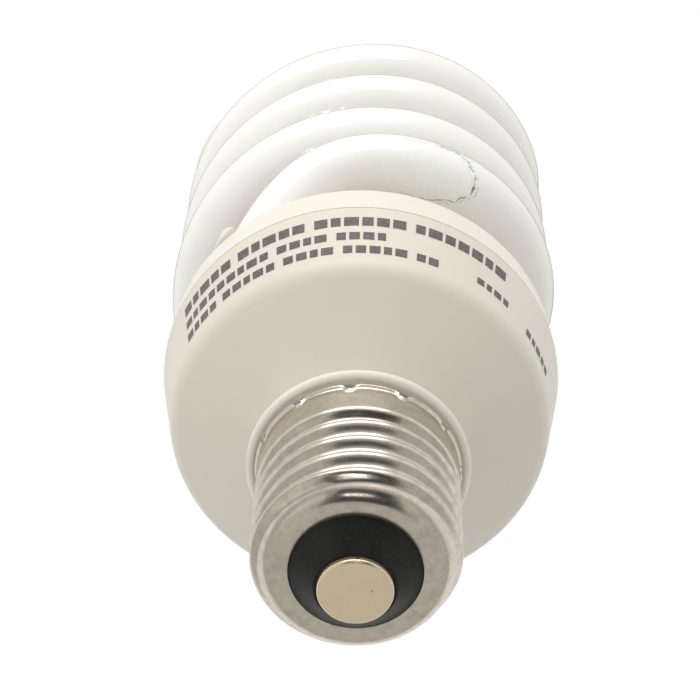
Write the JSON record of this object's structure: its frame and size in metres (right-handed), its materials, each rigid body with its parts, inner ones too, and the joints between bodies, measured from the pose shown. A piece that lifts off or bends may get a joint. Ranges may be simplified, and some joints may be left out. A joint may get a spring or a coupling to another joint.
{
  "type": "spiral energy saving bulb",
  "caption": "Compact fluorescent bulb: white spiral glass tube on a round plastic ballast housing with a metal screw cap.",
  "frame": {"origin": "centre of the contact's outer face", "axes": "+Z along the bulb's axis from the contact towards the spiral, -Y towards the side that the picture shows uppermost"},
  "size_m": [0.056, 0.0578, 0.1168],
  "materials": {
    "nickel_plate": "nickel plated, rolled",
    "contact_brass": "tinned and rubbed",
    "black_glass": "opaque black, glossy",
    "cream_plastic": "moulded, satin",
    "white_plastic": "moulded, satin",
    "coated_glass": "white coated inside, glossy",
    "stem_glass": "clear",
    "board": "laminate",
    "sleeve_film": "shrink sleeve",
    "ferrite": "sintered",
    "copper_wire": "enamelled",
    "resistor_body": "lacquered",
    "epoxy_black": "moulded",
    "film_green": "dipped",
    "tinned_wire": "tinned",
    "tungsten": "drawn"
  },
  "bodies": {
    "root": {"bulk_capacitor": "sleeve_film", "cap_insulator": "black_glass", "centre_contact": "contact_brass", "choke_core": "ferrite", "choke_winding": "copper_wire", "circuit_board": "board", "contact_lead": "tinned_wire", "drive_toroid": "ferrite", "electrode_1": "tungsten", "electrode_2": "tungsten", "film_capacitor_1": "film_green", "film_capacitor_2": "film_green", "filter_choke": "ferrite", "fuse_resistor": "resistor_body", "lower_housing": "cream_plastic", "rectifier_diode_1": "epoxy_black", "rectifier_diode_2": "epoxy_black", "rectifier_diode_3": "epoxy_black", "rectifier_diode_4": "epoxy_black", "screw_shell": "nickel_plate", "shell_lead": "tinned_wire", "spiral_tube": "coated_glass", "transistor_1": "epoxy_black", "transistor_2": "epoxy_black", "tube_cover": "white_plastic", "tube_leads_1": "tinned_wire", "tube_leads_2": "tinned_wire", "tube_stem_1": "stem_glass", "tube_stem_2": "stem_glass", "wire_post_1": "tinned_wire", "wire_post_2": "tinned_wire", "wire_post_3": "tinned_wire", "wire_post_4": "tinned_wire"}
  },
  "joints": []
}
